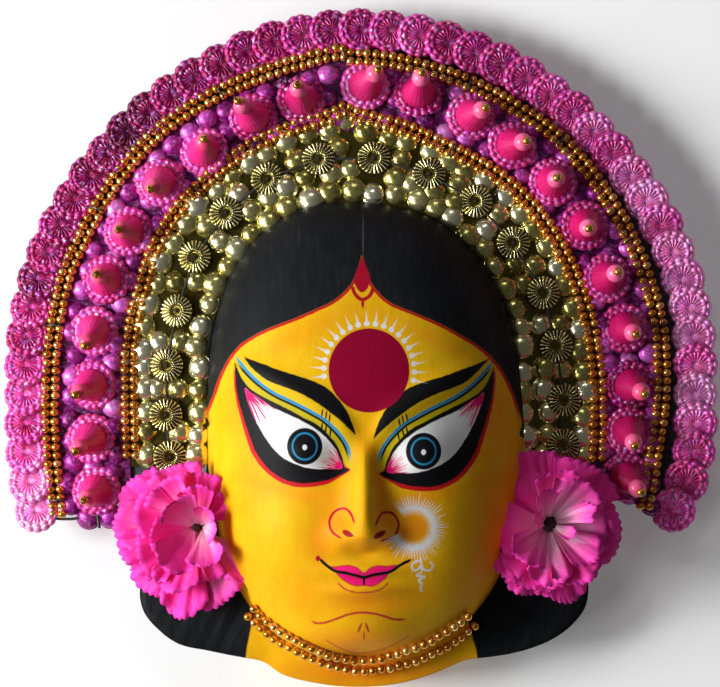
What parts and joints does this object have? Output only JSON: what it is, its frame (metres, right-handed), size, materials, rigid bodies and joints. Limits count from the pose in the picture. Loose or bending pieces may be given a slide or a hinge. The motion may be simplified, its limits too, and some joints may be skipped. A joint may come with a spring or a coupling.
{
  "type": "chhau mask",
  "caption": "Painted papier mache dance mask with a yellow face, a fan shaped crown of foil rosettes, beads, cones and gold florets, cloth flowers and a bead necklace.",
  "frame": {"origin": "middle of the whole mask in the plan, on the plane it lies on", "axes": "+X to the viewer's right, +Y to the top of the crown, +Z out of the face; the mask lies on its back rim"},
  "size_m": [0.4302, 0.4076, 0.1158],
  "materials": {
    "face_paint": "satin varnished paint on papier mache, black hair paint on its upper and outer parts",
    "board": "black painted card",
    "pink_foil": "iridescent pink plastic foil",
    "gold_foil": "ribbed antique gold plastic foil",
    "beads": "bright gold coated plastic beads",
    "cones": "pink plastic cones with pale pink balls",
    "cloth": "ruffled magenta cloth"
  },
  "bodies": {
    "root": {"mask_shell": "face_paint", "crown_board": "board", "gold_cup_band": "gold_foil", "pink_cup_band": "pink_foil", "rim_rosettes": "pink_foil", "outer_beads_far": "beads", "outer_beads_near": "beads", "inner_beads_far": "beads", "inner_beads_near": "beads", "cone_ornament_01": "cones", "cone_ornament_02": "cones", "cone_ornament_03": "cones", "cone_ornament_04": "cones", "cone_ornament_05": "cones", "cone_ornament_06": "cones", "cone_ornament_07": "cones", "cone_ornament_08": "cones", "cone_ornament_09": "cones", "cone_ornament_10": "cones", "cone_ornament_11": "cones", "cone_ornament_12": "cones", "cone_ornament_13": "cones", "cone_ornament_14": "cones", "cone_ornament_15": "cones", "cone_ornament_16": "cones", "cone_ornament_17": "cones", "cone_ornament_18": "cones", "cone_ornament_19": "cones", "cone_ornament_20": "cones", "cone_ornament_21": "cones", "gold_floret_01": "gold_foil", "gold_floret_02": "gold_foil", "gold_floret_03": "gold_foil", "gold_floret_04": "gold_foil", "gold_floret_05": "gold_foil", "gold_floret_06": "gold_foil", "gold_floret_07": "gold_foil", "gold_floret_08": "gold_foil", "gold_floret_09": "gold_foil", "gold_floret_10": "gold_foil", "gold_floret_11": "gold_foil", "gold_floret_12": "gold_foil", "gold_floret_13": "gold_foil", "gold_floret_14": "gold_foil", "gold_floret_15": "gold_foil", "gold_floret_16": "gold_foil", "necklace_upper": "beads", "necklace_lower": "beads", "flower_left": "cloth", "flower_right": "cloth"}
  },
  "joints": []
}
